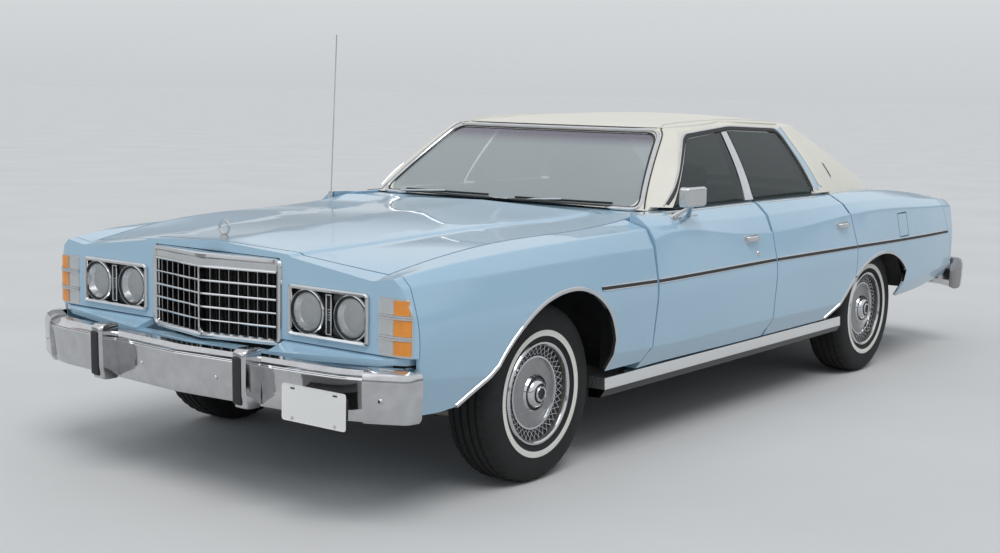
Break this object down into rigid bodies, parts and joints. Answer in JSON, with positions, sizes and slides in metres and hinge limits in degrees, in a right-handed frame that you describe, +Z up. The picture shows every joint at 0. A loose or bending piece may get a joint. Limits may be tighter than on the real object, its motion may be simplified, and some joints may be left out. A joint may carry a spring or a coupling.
{
  "type": "sedan car",
  "caption": "Full-size four-door sedan with a long hood, upright grille, vinyl roof, chrome bumpers and opening doors, hood and decklid.",
  "frame": {"origin": "on the ground, halfway along the car and on its centre plane", "axes": "+X points forward along the car, +Y to the car's left, +Z up"},
  "size_m": [5.69, 2.028, 1.7521],
  "materials": {
    "body_paint": "gloss",
    "under_paint": "satin",
    "vinyl": "grained vinyl",
    "clear_glass": "clear",
    "chrome": "polished",
    "bright_wheel": "brushed with dark lattice",
    "tyre": "black with a white wall band",
    "iron": "rough",
    "steel": "dull",
    "cloth": "woven cloth",
    "trim_plastic": "matte",
    "lamp_clear": "fluted",
    "lamp_red": "lens"
  },
  "bodies": {
    "body": {"front_fenders": "body_paint", "quarter_panels": "body_paint", "nose_panel": "body_paint", "corner_lamps": "lamp_clear", "headlamps": "chrome", "grille": "chrome", "valance_panel": "body_paint", "front_bumper": "chrome", "rear_bumper": "chrome", "tail_panel": "body_paint", "tail_lamps": "lamp_red", "roof": "vinyl", "windshield": "clear_glass", "rear_window": "clear_glass", "side_posts": "chrome", "floor_pan": "under_paint", "rocker_sills": "chrome", "frame_rails": "under_paint", "front_suspension": "steel", "rear_axle": "iron", "engine_block": "iron", "driveline": "steel", "exhaust_system": "steel", "fuel_tank": "steel", "dashboard": "trim_plastic", "front_seat": "cloth", "rear_seat": "cloth", "antenna": "chrome"},
    "knuckle_left": {"knuckle_left": "iron"},
    "knuckle_right": {"knuckle_right": "iron"},
    "wheel_front_left": {"wheel_front_left": "bright_wheel", "tyre_front_left": "tyre"},
    "wheel_front_right": {"wheel_front_right": "bright_wheel", "tyre_front_right": "tyre"},
    "wheel_rear_left": {"wheel_rear_left": "bright_wheel", "tyre_rear_left": "tyre"},
    "wheel_rear_right": {"wheel_rear_right": "bright_wheel", "tyre_rear_right": "tyre"},
    "door_front_left": {"door_front_left": "body_paint", "glass_front_left": "clear_glass", "door_mirror": "chrome"},
    "door_front_right": {"door_front_right": "body_paint", "glass_front_right": "clear_glass"},
    "door_rear_left": {"door_rear_left": "body_paint", "glass_rear_left": "clear_glass"},
    "door_rear_right": {"door_rear_right": "body_paint", "glass_rear_right": "clear_glass"},
    "hood": {"hood": "body_paint", "hood_ornament": "chrome"},
    "decklid": {"decklid": "body_paint"},
    "fuel_door": {"fuel_door": "body_paint"},
    "steering_wheel": {"steering_wheel": "trim_plastic"}
  },
  "joints": [
    {"name": "steer_left", "type": "hinge", "parent": "body", "child": "knuckle_left", "pos_m": [1.755, 0.737, 0.348], "axis": [0, 0, 1], "range_deg": [-33, 33]},
    {"name": "steer_right", "type": "hinge", "parent": "body", "child": "knuckle_right", "pos_m": [1.755, -0.737, 0.348], "axis": [0, 0, 1], "range_deg": [-33, 33]},
    {"name": "steering_turn", "type": "hinge", "parent": "body", "child": "steering_wheel", "pos_m": [0.455, 0.37, 0.838], "axis": [-0.9135, 0, 0.4067], "range_deg": [-540, 540]},
    {"name": "front_left_spin", "type": "hinge", "parent": "knuckle_left", "child": "wheel_front_left", "pos_m": [1.755, 0.814, 0.348], "axis": [0, 1, 0], "continuous": true},
    {"name": "rear_left_spin", "type": "hinge", "parent": "body", "child": "wheel_rear_left", "pos_m": [-1.318, 0.8165, 0.348], "axis": [0, 1, 0], "continuous": true},
    {"name": "front_left_door", "type": "hinge", "parent": "body", "child": "door_front_left", "pos_m": [0.987, 0.99, 0.62], "axis": [0, 0, -1], "range_deg": [0, 65]},
    {"name": "rear_left_door", "type": "hinge", "parent": "body", "child": "door_rear_left", "pos_m": [-0.1, 0.99, 0.62], "axis": [0, 0, -1], "range_deg": [0, 65]},
    {"name": "front_right_spin", "type": "hinge", "parent": "knuckle_right", "child": "wheel_front_right", "pos_m": [1.755, -0.814, 0.348], "axis": [0, 1, 0], "continuous": true},
    {"name": "rear_right_spin", "type": "hinge", "parent": "body", "child": "wheel_rear_right", "pos_m": [-1.318, -0.8165, 0.348], "axis": [0, 1, 0], "continuous": true},
    {"name": "front_right_door", "type": "hinge", "parent": "body", "child": "door_front_right", "pos_m": [0.987, -0.99, 0.62], "axis": [0, 0, 1], "range_deg": [0, 65]},
    {"name": "rear_right_door", "type": "hinge", "parent": "body", "child": "door_rear_right", "pos_m": [-0.1, -0.99, 0.62], "axis": [0, 0, 1], "range_deg": [0, 65]},
    {"name": "hood_lift", "type": "hinge", "parent": "body", "child": "hood", "pos_m": [0.905, 0, 0.985], "axis": [0, -1, 0], "range_deg": [0, 50]},
    {"name": "deck_lift", "type": "hinge", "parent": "body", "child": "decklid", "pos_m": [-1.76, 0, 0.996], "axis": [0, 1, 0], "range_deg": [0, 60]},
    {"name": "fuel_door_swing", "type": "hinge", "parent": "body", "child": "fuel_door", "pos_m": [-1.5515, 0.998, 0.8], "axis": [0, 0, -1], "range_deg": [0, 80]}
  ],
  "couplings": [
    {"joint": "steer_right", "follows": "steer_left", "ratio": 1},
    {"joint": "steering_turn", "follows": "steer_left", "ratio": -16}
  ]
}
